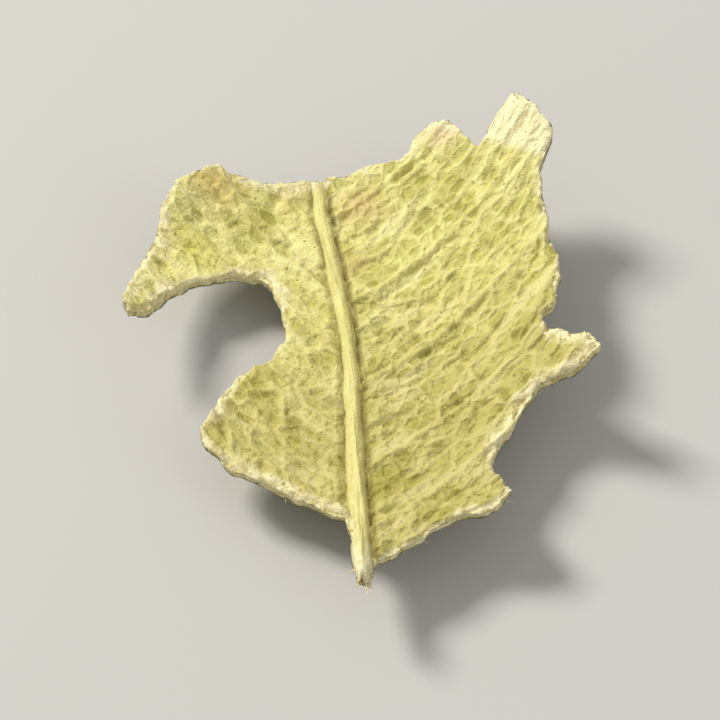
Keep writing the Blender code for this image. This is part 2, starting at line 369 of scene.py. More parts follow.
# %% The lower face
RIM_THIN, RIM_THICK = 0.10, 0.18        # the blade's least and greatest thickness along its tear
THIN_REACH = 1.5                        # how far in from the tear it has the solid's thickness
THICKNESS_SCALE = 2.1
FEET, FOOT_REACH = ((-1.19, 0.51), (1.81, 0.11), (0.65, -3.10)), 0.95
FOOT_CLEAR = 0.50                       # the feet fade out this far from the tear
PLEAT, PLEAT_SCALE = 1.5, 1.9           # how uneven a foot's reach is round it


def ease(share):
    """From 0 to 1, softly at both ends."""
    share = np.clip(share, 0, 1)
    return share ** 2 * (3 - 2 * share)


def distance_from(edge, x, y):
    """Each point's distance from the edge, in the plan."""
    near = finder(edge)
    return np.array([near.find((across, up, 0))[2] for across, up in zip(x, y)])


def lower_face(x, y, rim):
    """How high the lower face stands, with its three low points."""
    uneven = np.array([chance(*at, THICKNESS_SCALE) for at in zip(x, y)])
    at_tear = RIM_THIN + (RIM_THICK - RIM_THIN) * uneven
    thickness = at_tear + (BLADE - at_tear) * ease(rim / THIN_REACH)
    face = FOOT_DEPTH + BLADE + cup(x, y) - thickness * slant(x, y)
    for foot_x, foot_y in FEET:
        away = np.maximum(np.hypot(x - foot_x, y - foot_y), CLOSE)
        tip = face[np.argmin(away)]
        round_it = zip((x - foot_x) / away, (y - foot_y) / away)
        pleats = 1 + PLEAT * (np.array([chance(*way, PLEAT_SCALE) for way in round_it]) - 0.5)
        away = away * pleats / FOOT_REACH
        face = face - tip * np.clip(1 - away ** 2, 0, 1) ** 2 * ease(rim / FOOT_CLEAR)
    return np.maximum(face, 0)


print("The blade is", RIM_THIN, "to", RIM_THICK, "mm thick at its tear, and", BLADE, "mm from",
      THIN_REACH, "mm further in")

# %% Bend the slab
def keep(mesh, name, values):
    """Store a number for each point of the mesh."""
    mesh.attributes.new(name, "FLOAT", "POINT").data.foreach_set("value", np.asarray(values, np.float32))


place = np.empty(3 * len(blade_mesh.vertices))
blade_mesh.vertices.foreach_get("co", place)
x, y, level = place.reshape(-1, 3).T
rim = distance_from(torn_edge, x, y)
low = lower_face(x, y, rim)
high = FOOT_DEPTH + BLADE + cup(x, y)
keep(blade_mesh, "level", level)
keep(blade_mesh, "rim", rim)
blade_mesh.vertices.foreach_set("co", np.column_stack([x, y, low + (high - low) * level]).ravel())
leaf_blade = new_piece("leaf_blade", blade_mesh)
print("Measured upright, it is", round(float((high - low)[rim < GRAIN].mean()), 2),
      "mm thick at its tear and", round(float((high - low).max()), 2), "mm at most")

# %% [markdown]
# ## Sums as nodes
#
# Both geometry trees and materials are graphs of nodes. Wiring each node by hand hides what a tree
# works out, so two small classes stand between. A `Wire` holds one output, and sums on it add Math
# nodes: `1 - mask` and `mask * 2` read as what they are. `Nodes` adds any other node in one way: its
# kind, its settings, then what goes into its sockets.

# %% A wire
def shown(sockets, name):
    """The socket of this name that the node's settings leave in use."""
    return next(socket for socket in sockets if socket.name == name and socket.enabled)


class Wire:
    """One output of a node, which can stand in a sum."""

    def __init__(self, nodes, socket):
        self.nodes, self.socket = nodes, socket

    def __getitem__(self, name):
        """Another output of the same node."""
        return Wire(self.nodes, shown(self.socket.node.outputs, name))

    def __add__(self, value):
        return self.nodes.sum("ADD", self, value)

    def __sub__(self, value):
        return self.nodes.sum("SUBTRACT", self, value)

    def __rsub__(self, value):
        return self.nodes.sum("SUBTRACT", value, self)

    def __mul__(self, value):
        return self.nodes.sum("MULTIPLY", self, value)

    def __truediv__(self, value):
        return self.nodes.sum("DIVIDE", self, value)

    __radd__, __rmul__ = __add__, __mul__


print("A wire can stand in sums, and gives the other outputs of its node by their names")

# %% The nodes of a tree
class Nodes:
    """A node tree, and one way to add a node to it."""

    def __init__(self, tree):
        self.tree = tree
        tree.nodes.clear()

    def add(self, kind, settings=None, inputs=None):
        """Add a node: first its settings, then its inputs by name or number. Gives its first output."""
        node = self.tree.nodes.new(kind)
        for name, value in (settings or {}).items():
            setattr(node, name, value)
        for name, value in (inputs or {}).items():
            socket = shown(node.inputs, name) if isinstance(name, str) else node.inputs[name]
            if isinstance(value, Wire):
                self.tree.links.new(value.socket, socket)
            else:
                socket.default_value = value
        return Wire(self, next((socket for socket in node.outputs if socket.enabled), None))

    def sum(self, operation, *values):
        """Math."""
        return self.add("ShaderNodeMath", {"operation": operation}, dict(enumerate(values)))

    def arrow(self, operation, *values):
        """Vector Math."""
        return self.add("ShaderNodeVectorMath", {"operation": operation}, dict(enumerate(values)))

    def scaled(self, vector, scale):
        return self.add("ShaderNodeVectorMath", {"operation": "SCALE"}, {"Vector": vector, "Scale": scale})

    def flat(self, vector):
        """The point of the plan under a place."""
        return self.arrow("MULTIPLY", vector, (1, 1, 0))

    def step(self, value, start, end):
        """From 0 to 1, softly, while the value goes from start to end, up or down."""
        return self.add("ShaderNodeMapRange", {"interpolation_type": "SMOOTHSTEP"},
                        {"Value": value, "From Min": start, "From Max": end})

    def split(self, vector):
        """A vector's three numbers."""
        first = self.add("ShaderNodeSeparateXYZ", None, {0: vector})
        return first, first["Y"], first["Z"]

    def join(self, *numbers):
        return self.add("ShaderNodeCombineXYZ", None, dict(enumerate(numbers)))

    def cloud(self, vector, scale, detail=2.0):
        """Noise from 0 to 1. Three numbers as its scale draw it out."""
        if isinstance(scale, tuple):
            vector, scale = self.arrow("MULTIPLY", vector, scale), 1.0
        return self.add("ShaderNodeTexNoise", None, {"Vector": vector, "Scale": scale, "Detail": detail})

    def sway(self, vector, scale, detail=2.0):
        """The same noise round 0, half of it either way."""
        return self.cloud(vector, scale, detail) - 0.5

    def ridge(self, distance, half):
        """1 on a line and 0 from half its width on, rounded like a vein."""
        share = distance / half
        return self.sum("MAXIMUM", 1 - share * share, 0)


trial = Nodes(bpy.data.node_groups.new("trial", "ShaderNodeTree"))
mask = trial.add("ShaderNodeTexNoise")
last = (1 - mask) * 2
print("The sum (1 - mask) * 2 adds", len(trial.tree.nodes) - 1, "nodes, the last to",
      last.socket.node.operation)
bpy.data.node_groups.remove(trial.tree)

# %% [markdown]
# ## Running a geometry tree
#
# A geometry tree is a recipe with named inputs. This helper starts one, and the next one puts it on
# an object, sets its inputs by their identifiers, and keeps the result as a plain mesh. The modifier
# is then removed, so what is left can be read by any program.

# %% Helpers for geometry trees
KINDS = {float: "NodeSocketFloat", int: "NodeSocketInt", bpy.types.Object: "NodeSocketObject",
         bpy.types.Material: "NodeSocketMaterial"}


def start_tree(name, inputs):
    """An empty recipe whose inputs are named, with the kind or the value of each. Gives it and its inputs."""
    tree = bpy.data.node_groups.new(name, "GeometryNodeTree")
    nodes = Nodes(tree)
    tree.interface.new_socket("Geometry", in_out="INPUT", socket_type="NodeSocketGeometry")
    tree.interface.new_socket("Geometry", in_out="OUTPUT", socket_type="NodeSocketGeometry")
    for label, value in inputs.items():
        kind = value if isinstance(value, type) else type(value)
        socket = tree.interface.new_socket(label, in_out="INPUT", socket_type=KINDS[kind])
        if not isinstance(value, type):
            socket.default_value = value
    return nodes, nodes.add("NodeGroupInput")


def end_tree(nodes, size, geometry):
    """Close a recipe: what it makes is real mesh, in its material."""
    geometry = nodes.add("GeometryNodeRealizeInstances", None, {"Geometry": geometry})
    geometry = nodes.add("GeometryNodeSetMaterial", None,
                         {"Geometry": geometry, "Material": size["Material"]})
    nodes.add("NodeGroupOutput", None, {"Geometry": geometry})


def run_tree(nodes, piece, inputs):
    """Run a recipe on a piece and keep what it makes as the piece's plain mesh, smoothly shaded."""
    modifier = piece.modifiers.new(nodes.tree.name, "NODES")
    modifier.node_group = nodes.tree
    for item in nodes.tree.interface.items_tree:
        if item.in_out == "INPUT" and item.name in inputs:
            modifier[item.identifier] = inputs[item.name]
    graph = bpy.context.evaluated_depsgraph_get()
    mesh = bpy.data.meshes.new_from_object(piece.evaluated_get(graph), preserve_all_data_layers=True,
                                           depsgraph=graph)
    piece.modifiers.remove(modifier)
    while not mesh.materials[0]:            # shapes that a tree makes bring an empty slot
        mesh.materials.pop(index=0)
    mesh.shade_smooth()
    mesh.name = piece.name
    piece.data = mesh
    triangles = sum(len(face.vertices) - 2 for face in mesh.polygons)
    print(piece.name, "has", triangles, "triangles")


print("Input kinds:", sorted(kind.__name__ for kind in KINDS))

# %% [markdown]
# ## The net, in the leaf's own directions
#
# Between the side veins a leaf has a net of ever finer veins. The fields between its lines line up
# with the side veins, and so do the streaks in the tissue. So each point of the blade gets a place in
# a map of its own, kept as `vein_map`: how far it lies along a side vein, how far across them, and on
# which side of the midrib. A Voronoi pattern on that map then follows the bent veins by itself.
#
# The same functions add the nets to the geometry tree, which raises them, and to the material, which
# colours them, so relief and colour can't drift apart.

# %% The vein map
HALF_APART = 7.3                        # keeps the patterns of the two halves unlike


def vein_map(nodes, plan, on_midrib):
    """Where a point lies along the side veins, across them, and on which half of the leaf."""
    x, y, _ = nodes.split(plan)
    nearest_x, _, _ = nodes.split(on_midrib)
    off = x - nearest_x
    reach = nodes.sum("ABSOLUTE", off)
    run = reach / math.sin(VEIN_ANGLE)
    risen = y - run * run * VEIN_BEND
    along = reach * math.sin(VEIN_ANGLE) + risen * math.cos(VEIN_ANGLE)
    across = risen * math.sin(VEIN_ANGLE) - reach * math.cos(VEIN_ANGLE)
    return nodes.join(along, across, nodes.sum("SIGN", off) * HALF_APART)


print("The map lays veins straight that leave the midrib at", round(math.degrees(VEIN_ANGLE)), "degrees")

# %% The net
FIELD_LONG, FIELD_WIDE = 0.60, 0.50     # one field of the net, along and across the side veins
NET_HALF = 0.060                        # half the width of its lines
FINE_SHARE, FINE_HALF = 0.42, 0.040     # the fine net's size against the net's, and its lines
SHAKEN = 0.85                           # how uneven the fields are, up to 1
WARP, WARP_SCALE = 0.22, 1.7
MIDRIB_CLEAR = 0.3                      # the nets have ended where the midrib is this high, of 1


def net_pattern(nodes, mapped, share, feature):
    """A Voronoi pattern whose cells are the fields of a net, by their size against the main one's."""
    shaken = nodes.cloud(mapped, WARP_SCALE / share)["Color"]
    place = nodes.arrow("ADD", mapped, nodes.scaled(shaken, WARP * share))
    place = nodes.arrow("DIVIDE", place, (FIELD_LONG * share, FIELD_WIDE * share, 1))
    return nodes.add("ShaderNodeTexVoronoi", {"feature": feature},
                     {"Vector": place, "Scale": 1.0, "Randomness": SHAKEN})


def net_lines(nodes, mapped, share, half):
    """1 on the lines of a net, 0 between them."""
    return nodes.ridge(net_pattern(nodes, mapped, share, "DISTANCE_TO_EDGE") * (FIELD_WIDE * share), half)


def both_nets(nodes, mapped, midrib):
    """The lines of the net and of the fine net, which end at the midrib. And 1 beside it, 0 on it."""
    beside = nodes.step(midrib, MIDRIB_CLEAR, 0)
    net = net_lines(nodes, mapped, 1, NET_HALF) * beside
    return net, net_lines(nodes, mapped, FINE_SHARE, FINE_HALF) * beside, beside


def field_tone(nodes, mapped, share):
    """A chance number from 0 to 1 that is the same all over one field of a net."""
    return nodes.split(net_pattern(nodes, mapped, share, "F1")["Color"])[0]


def strands(nodes, mapped, across, along):
    """Noise from 0 to 1 drawn out along the midrib, by how many strands fit a millimetre each way."""
    far, up, half = nodes.split(mapped)
    off = (far * math.sin(VEIN_ANGLE) - up * math.cos(VEIN_ANGLE)) * half
    risen = far * math.cos(VEIN_ANGLE) + up * math.sin(VEIN_ANGLE)
    return nodes.cloud(nodes.join(off * (across / HALF_APART), risen * along, 0), 1.0)


print("One field of the net is", FIELD_LONG, "by", FIELD_WIDE, "mm, one of the fine net",
      round(FIELD_LONG * FINE_SHARE, 2), "by", round(FIELD_WIDE * FINE_SHARE, 2), "mm")

# %% [markdown]
# ## Raising the veins
#
# The midrib is a bundle of woody strands with a crevice on either side, and the side veins are low
# swellings. They could be tubes joined to the blade, but on a leaf they grow out of it without a
# seam. So a tree moves the blade's own points.
#
# It asks how far each point is from the midrib and from the side veins, turns the distances into
# rounded ridges, takes the highest of them, and moves the upper face up by it. The lower face gets
# the grooves that lie behind the veins. The whole blade is crumpled and folded a little, less and
# less towards the table, so that its feet stay flat on it.
#
# Along the tear the upper skin is pulled away, and the paler tissue under it shows in a ragged band.
# The wall of the tear is hollowed and shredded.

# %% Sizes of the raised veins
RAISED = {
    "Midrib": bpy.types.Object, "Side Veins": bpy.types.Object, "Material": bpy.types.Material,
    "Wander": 0.16, "Wander Scale": 1.6,                            # how the veins stray from their lines
    "Midrib Half": 0.195, "Midrib Height": 0.19, "Midrib Taper": 0.035, "Midrib Blend": 0.08,
    "Lower From": -0.5, "Lower To": 4.0, "Lower By": 0.62,          # the midrib sinks towards the tip
    "Strand Depth": 0.9, "Crevice Width": 0.55, "Crevice Depth": 0.030,
    "Vein Half": 0.080, "Vein Height": 0.050, "Shoulder Reach": 0.40, "Shoulder Height": 0.034,
    "Net Height": 0.031, "Least Net": 0.4, "Fading Scale": 1.3, "Fine Net Height": 0.015,
    "Midrib Groove": 0.09, "Vein Groove": 0.040, "Net Groove": 0.020, "Groove From": 0.1, "Groove To": 0.5,
    "Crumple Height": 0.11, "Crumple Scale": 0.9, "Fold Height": 0.055, "Fold Width": 0.10,
    "Landing": 0.14,                                                # crumpled only above this height
    "Grain Height": 0.018, "Grain Scale": 7.0,
    "Skin Width": 0.70, "Skin Scale": 1.4, "Skin Cover": 0.43,      # the peeled band along the tear
    "Skin Thins": 0.6, "Skin Least": 0.012, "Skin Drop": 0.040, "Bared Grain": 0.060, "Bared Scale": 13.0,
    "Wall Depth": 0.075, "Shred Depth": 0.090, "Shred Cover": 0.4}
RIB_STRANDS = 11, 0.6                   # how many fit a millimetre, across and along
FOLD_STRETCH = (0.75, 1.7, 1)           # the folds lie along the side veins
HOLLOW_STRETCH, SHRED_STRETCH = (4, 4, 8), (13, 13, 20)
FADED, HOLLOWED = (0.3, 0.7), (0.35, 0.65)      # the noise where these start, and where they are full
blade_nodes, size = start_tree("raised_veins", RAISED)
print("The tree has", len(RAISED), "named sizes and other inputs")

# %% Reading and keeping numbers
def stored(nodes, name):
    """A number kept on the mesh, read in a geometry tree."""
    return nodes.add("GeometryNodeInputNamedAttribute", {"data_type": "FLOAT"}, {"Name": name})


def store(nodes, geometry, name, value, kind="FLOAT"):
    """Keep a value for each point of a geometry."""
    return nodes.add("GeometryNodeStoreNamedAttribute", {"data_type": kind, "domain": "POINT"},
                     {"Geometry": geometry, "Name": name, "Value": value})


def nearest(nodes, target, plan):
    """The distance from a target's edges, in the plan."""
    edges = nodes.add("GeometryNodeObjectInfo", None, {"Object": target})["Geometry"]
    return nodes.add("GeometryNodeProximity", {"target_element": "EDGES"},
                     {"Geometry": edges, "Sample Position": plan})["Distance"]


def halfway(level):
    """1 in the middle of the blade's thickness, 0 on both its faces."""
    return level * (1 - level) * 4


print("Halfway is", halfway(0.5), "in the middle of the blade and", halfway(1), "on its upper face")

# %% Where the veins are, and how far they stand out
def find_veins(nodes, size, plan):
    """Each point's place in the vein map, and how much of each kind of vein it is, from 0 to 1."""
    wander = nodes.cloud(plan, size["Wander Scale"])["Color"]
    wander = nodes.scaled(nodes.arrow("SUBTRACT", wander, (0.5, 0.5, 0.5)), size["Wander"])
    wandering = nodes.flat(nodes.arrow("ADD", plan, wander))
    from_midrib = nearest(nodes, size["Midrib"], wandering)
    from_vein = nearest(nodes, size["Side Veins"], wandering)
    mapped = vein_map(nodes, plan, from_midrib["Position"])
    taper = 1 - (nodes.split(plan)[1] - midrib_points[0][1]) * size["Midrib Taper"]
    half = size["Midrib Half"] * taper
    midrib = nodes.ridge(from_midrib, half)
    net, fine, beside = both_nets(nodes, mapped, midrib)
    return mapped, {"taper": taper, "midrib": midrib, "beside": beside, "net": net, "fine": fine,
                    "crevice": nodes.ridge(from_midrib - half, half * size["Crevice Width"]),
                    "vein": nodes.ridge(from_vein, size["Vein Half"]),
                    "shoulder": nodes.ridge(from_vein, size["Shoulder Reach"])}


def vein_relief(nodes, size, plan, mapped, veins):
    """How far the veins stand out of the upper face."""
    faded = nodes.step(nodes.cloud(plan, size["Fading Scale"]), *FADED)
    faded = faded * (1 - size["Least Net"]) + size["Least Net"]
    low_relief = veins["shoulder"] * size["Shoulder Height"] + veins["fine"] * size["Fine Net Height"]
    net = veins["net"] * faded * size["Net Height"]
    middle = nodes.sum("MAXIMUM", veins["vein"] * size["Vein Height"], net)
    lower = nodes.step(nodes.split(plan)[1], size["Lower From"], size["Lower To"]) * size["Lower By"]
    furrows = (strands(nodes, mapped, *RIB_STRANDS) - 0.5) * size["Strand Depth"]
    top = veins["midrib"] * veins["taper"] * (1 - lower) * size["Midrib Height"] * (1 + furrows)
    return nodes.sum("SMOOTH_MAX", low_relief + middle, top, size["Midrib Blend"])


print("The midrib is", 2 * RAISED["Midrib Half"], "mm wide at its foot, a side vein",
      2 * RAISED["Vein Half"], "mm")

# %% The peeled band, the crumple and the wall
def peeled_band(nodes, size, plan, rim):
    """Where the skin is pulled away along the tear, and how deep the bared tissue lies there."""
    ragged = (nodes.cloud(plan, size["Skin Scale"], 5.0) - size["Skin Cover"]) * size["Skin Width"]
    whole = nodes.sum("MAXIMUM", ragged, size["Skin Least"])
    gone = nodes.sum("MAXIMUM", ragged * size["Skin Thins"], 0)
    grain = nodes.sway(plan, size["Bared Scale"], 3.0) * size["Bared Grain"]
    return nodes.step(rim, whole, gone), grain - size["Skin Drop"]


def crumpled(nodes, size, plan, mapped, beside):
    """How far the whole blade is lifted where it crumpled, with folds beside the midrib."""
    crumple = nodes.sway(plan, size["Crumple Scale"]) * size["Crumple Height"]
    from_fold = nodes.sum("ABSOLUTE", nodes.sway(mapped, FOLD_STRETCH))
    return crumple + nodes.step(from_fold, 0, size["Fold Width"]) * beside * size["Fold Height"]


def torn_wall(nodes, size, place, level):
    """How far the wall of the tear is set in, by hollows and by shreds in them."""
    hollows = nodes.step(nodes.cloud(place, HOLLOW_STRETCH), *HOLLOWED) * size["Wall Depth"]
    shreds = (nodes.cloud(place, SHRED_STRETCH, 3.0) - size["Shred Cover"]) * size["Shred Depth"]
    inwards = nodes.sum("MAXIMUM", halfway(level) * (hollows + shreds), 0) * -1
    return nodes.scaled(nodes.add("GeometryNodeInputNormal"), inwards)


print("The bared tissue lies about", RAISED["Skin Drop"], "mm under the skin")

# %% The tree that raises the veins
def raise_veins(nodes, size):
    """Fill the tree."""
    place = nodes.add("GeometryNodeInputPosition")
    plan = nodes.flat(place)
    level, rim = stored(nodes, "level"), stored(nodes, "rim")
    mapped, veins = find_veins(nodes, size, plan)
    peeled, bared = peeled_band(nodes, size, plan, rim)
    grain = nodes.sway(plan, size["Grain Scale"], 3.0) * size["Grain Height"]
    skin = vein_relief(nodes, size, plan, mapped, veins) + grain - veins["crevice"] * size["Crevice Depth"]
    skin = skin * (1 - peeled) + peeled * bared
    groove = veins["midrib"] * size["Midrib Groove"] + veins["vein"] * size["Vein Groove"]
    groove = groove + veins["net"] * size["Net Groove"] + grain
    groove = (1 - level) * groove * nodes.step(rim, size["Groove From"], size["Groove To"])
    lift = level * skin + groove + crumpled(nodes, size, plan, mapped, veins["beside"])
    lift = lift * nodes.step(nodes.split(place)[2], 0, size["Landing"])
    offset = nodes.arrow("ADD", nodes.join(0, 0, lift), torn_wall(nodes, size, place, level))
    geometry = store(nodes, size, "vein_map", mapped, "FLOAT_VECTOR")
    for name, value in (*((name, veins[name]) for name in ("midrib", "crevice", "vein")), ("peeled", peeled)):
        geometry = store(nodes, geometry, name, value)
    return nodes.add("GeometryNodeSetPosition", None, {"Geometry": geometry, "Offset": offset})


end_tree(blade_nodes, size, raise_veins(blade_nodes, size))
print("The tree has", len(blade_nodes.tree.nodes), "nodes")

# %% [markdown]
# ## How a leaf gets its colour
#
# The paler underside of the leaf faces up. It is a dull yellow green, mottled where the tissue
# between the veins has shrunk, with paler veins, and it dries tan in a few places. The other face is
# darker and more olive. Torn tissue is cream, and it shows wherever the skin is peeled from an edge.
#
# It could be painted on a picture wrapped round the mesh, but a picture blurs close up. So all of it
# is worked out from the blade's own attributes and from noise, layer over layer. A layer has a tone.
# It starts where its pattern has one value, is full where it has another, and then hides a share of
# what is under it. Colours are written as they look on a screen, from 0 to 255, and turned into the
# linear light that Blender adds up.

# %% Helpers for materials
CREAM = (246, 236, 188)


def tone(red, green, blue):
    """A colour as it looks on a screen, in linear light."""
    return (*(((value / 255 + 0.055) / 1.055) ** 2.4 for value in (red, green, blue)), 1)


def start_material(name):
    """An empty material and its nodes."""
    material = bpy.data.materials.new(name)
    material.use_nodes = True
    return material, Nodes(material.node_tree)


def end_material(nodes, surface):
    """Close a material with one surface."""
    surface = nodes.add("ShaderNodeBsdfPrincipled", None, surface)
    nodes.add("ShaderNodeOutputMaterial", None, {"Surface": surface})


def painted(nodes, name):
    """A number kept on the mesh, read in a material."""
    return nodes.add("ShaderNodeAttribute", {"attribute_name": name})["Fac"]


def place_in_leaf(nodes):
    """The shaded point in millimetres, and the point of the plan under it."""
    place = nodes.scaled(nodes.add("ShaderNodeTexCoord")["Object"], 1 / MM)
    place = nodes.arrow("ADD", place, (*ORIGIN, 0))
    return place, nodes.flat(place)


print("Cream in linear light is", [round(value, 3) for value in tone(*CREAM)])

# %% Layers of colour
# A layer's last two numbers add to its share where the leaf is worn and under the painted shade towards the
# lower right.
Layer = namedtuple("Layer", "tone start full share when_worn when_dull", defaults=(1, 0, 0))


def over(nodes, base, colour, share):
    """A colour laid over another by a share from 0 to 1. Either may be given as on a screen."""
    base, colour = (tone(*value) if isinstance(value, tuple) else value for value in (base, colour))
    return nodes.add("ShaderNodeMix", {"data_type": "RGBA"}, {"Factor": share, "A": base, "B": colour})


def lay(nodes, base, layer, pattern, worn=0, painted_shade=0):
    """Lay a layer over a colour, by its pattern, and more of it where the leaf is worn or under painted
    shade.
    """
    share = layer.share + worn * layer.when_worn + painted_shade * layer.when_dull
    return over(nodes, base, layer.tone, nodes.step(pattern, layer.start, layer.full) * share)


def near_to(nodes, plan, seen, reach, shake=0):
    """1 at a place given as the viewer sees it, softly down to 0 at its reach."""
    away = nodes.arrow("DISTANCE", plan, (*laid_back(*seen), 0))["Value"]
    return nodes.step(away + shake, reach, 0)


print("A layer has:", ", ".join(Layer._fields))

# %% [markdown]
# ## The leaf's marks
#
# No two flakes are marked alike. These are the marks of this one, each with its place as the viewer
# sees it, its reach in millimetres, its colour and its strength. A short list of places is the right
# tool here: they follow no rule.

# %% Marks on the blade
MARKS = [
    ((-2.30, 2.35), 0.75, (212, 186, 112), 0.70),   # dried tan along the arm's top edge
    ((-0.95, 2.20), 0.60, (208, 188, 112), 0.55),
    ((0.12, 1.95), 0.65, (212, 184, 122), 0.70),    # tan beside the top of the midrib
    ((0.02, 1.00), 0.45, (206, 180, 112), 0.55),
    ((0.62, -2.44), 0.60, (168, 170, 62), 0.75),    # green patch near the stub
    ((-1.60, -0.95), 0.70, (186, 176, 76), 0.50),
    ((1.62, -1.27), 0.22, (128, 122, 46), 0.85),    # small dark spots
    ((1.15, 1.83), 0.26, (150, 144, 66), 0.75),
    ((-0.98, -1.62), 0.22, (140, 130, 60), 0.80),
    ((-0.36, -1.28), 0.18, (140, 130, 60), 0.70),
    ((-0.60, -0.62), 0.20, (158, 148, 72), 0.60),
    ((3.15, 0.12), 0.30, (152, 142, 72), 0.65),
    # a brown nick at the lower left edge, darkened further by painted shadow of the flake beside it
    ((-2.15, -1.50), 0.40, (160, 140, 84), 0.60),
    ((-2.60, 1.25), 0.60, (204, 200, 92), 0.55),    # greener in the arm
    ((-1.60, 1.65), 0.40, (178, 168, 82), 0.55),
    ((1.50, 3.26), 0.50, (240, 214, 170), 0.90),    # pink cream at the small tooth
]
MARK_SCALE, MARK_RAGGED = 5.0, 0.8      # how ragged a mark's edge is, against its reach


def marked(nodes, colour, plan):
    """Lay the marks over the blade's colour."""
    edge_noise = nodes.sway(plan, MARK_SCALE, 3.0)
    for seen, reach, mark, strength in MARKS:
        inside = near_to(nodes, plan, seen, reach, edge_noise * reach * MARK_RAGGED)
        colour = over(nodes, colour, mark, inside * strength)
    return colour


print("The blade has", len(MARKS), "marks")

# %% The cream tooth and the pale edges
TOOTH_LINE = ((2.24, 3.02), (3.22, 2.73))           # the tooth is cream above this line
TOOTH_BLEND, TOOTH_RAGGED = (-0.04, 0.10), 0.25
PALE_EDGES = [      # where the torn edge is broadly cream, and how far from there
    ((2.75, -1.35), 1.5), ((-1.20, -2.75), 1.4), ((3.60, -0.40), 1.0), ((-3.20, 0.60), 1.0),
    ((-1.45, 2.40), 1.5), ((-3.10, 1.60), 1.0), ((-1.25, 0.55), 0.8),
]


def tooth_mask(nodes, plan, ragged):
    """1 on the cream tooth, by which side of a line a point lies on."""
    (ax, ay), (bx, by) = (laid_back(*point) for point in TOOTH_LINE)
    square = Vector((ay - by, bx - ax, 0)).normalized()
    above = nodes.arrow("DOT_PRODUCT", plan, tuple(square))["Value"] - square.dot((ax, ay, 0))
    return nodes.step(above + (ragged - 0.5) * TOOTH_RAGGED, *TOOTH_BLEND)


def broadly_pale(nodes, plan):
    """1 where the torn edge is broadly cream."""
    broad = 0.0
    for seen, reach in PALE_EDGES:
        broad = nodes.sum("MAXIMUM", broad, near_to(nodes, plan, seen, reach))
    return broad


print("The torn edge is broadly cream in", len(PALE_EDGES), "places")

# %% [markdown]
# ## The two faces
#
# The face that lies up has a skin of soft greens, with some fields of the net greener and some paler.
# Over it lie blotches and specks where the tissue darkened, pale streaks along the side veins, the
# nets and veins, the marks, painted shade along the crevice beside the midrib, and the woody midrib
# itself, bleached where it was torn through. The blade is more worn on the left, and painted shade
# darkens it towards the lower right; some layers are stronger in both places.
#
# The face that lies down is made in the same way, with fewer and darker layers. One long colour ramp
# could stand for each face, but then no layer could be changed without moving the others.

# %% The face that lies up
UP_SCALES = 0.8, 3.2, 7.5               # patches, blotches and specks, by how many fit a millimetre
STREAK_STRETCH = (0.8, 2.8, 1)
UP_SKIN, UP_PALER = (190, 185, 92), Layer((212, 207, 120), 0.35, 0.65)
UP_FIELDS = (1, (150, 148, 52), 0.34), (FINE_SHARE, (234, 227, 148), 0.34)      # net, tone, share
UP_BLOTCHES = Layer((144, 138, 52), 0.50, 0.66, 0.44, 0.30, 0.40)
UP_SPECKS = Layer((128, 116, 48), 0.60, 0.72, 0.26, 0.40, 0.36)
UP_STREAKS = Layer((242, 235, 170), 0.50, 0.64, 0.66, 0, 0.26)
UP_VEINS = (238, 229, 154), 0.50, 0.30, (230, 221, 144), 0.45
WORN_SCALE, WORN, WORN_LEFT, LEFT = 0.55, (0.42, 0.64), 0.12, (1.0, -1.2)
# Painted shade: the face is darkened towards the lower right, where the light falls off.
PAINTED_SHADE_WAY, PAINTED_SHADE_SPAN = (0.35, -0.94, 0), (-1.5, 4.0)      # painted shade grows this way, from where to where
PAINTED_SHADE_TONE, PAINTED_SHADE_SHARE = (158, 144, 66), 0.44
# Painted shade along the crevice beside the midrib.
CREVICE_SHADE_TONE, CREVICE_SHADE_BREAKS = (112, 98, 42), (0.22, 0.50)
CREVICE_SHADE_LEFT, CREVICE_SHADE_MORE_RIGHT = 0.38, 0.50       # painted shade, stronger on the midrib's right side
WOOD, WOOD_DARK, WOOD_STRANDS = (232, 223, 148), Layer((190, 172, 98), 0.50, 0.68, 0.65), (15, 0.7)
WOOD_EDGE, WOOD_SHARE = (0.10, 0.65), 0.85
STUB, STUB_REACH, STUB_TONE, STUB_SHARE = (0.17, -4.0), 1.2, (248, 240, 206), 0.85


def veined(nodes, colour, masks, net_tone, net_share, fine_share, vein_tone, vein_share):
    """Lay the nets and the side veins over a face's colour."""
    colour = over(nodes, colour, net_tone, masks["net"] * net_share + masks["fine"] * fine_share)
    return over(nodes, colour, vein_tone, masks["vein"] * vein_share)


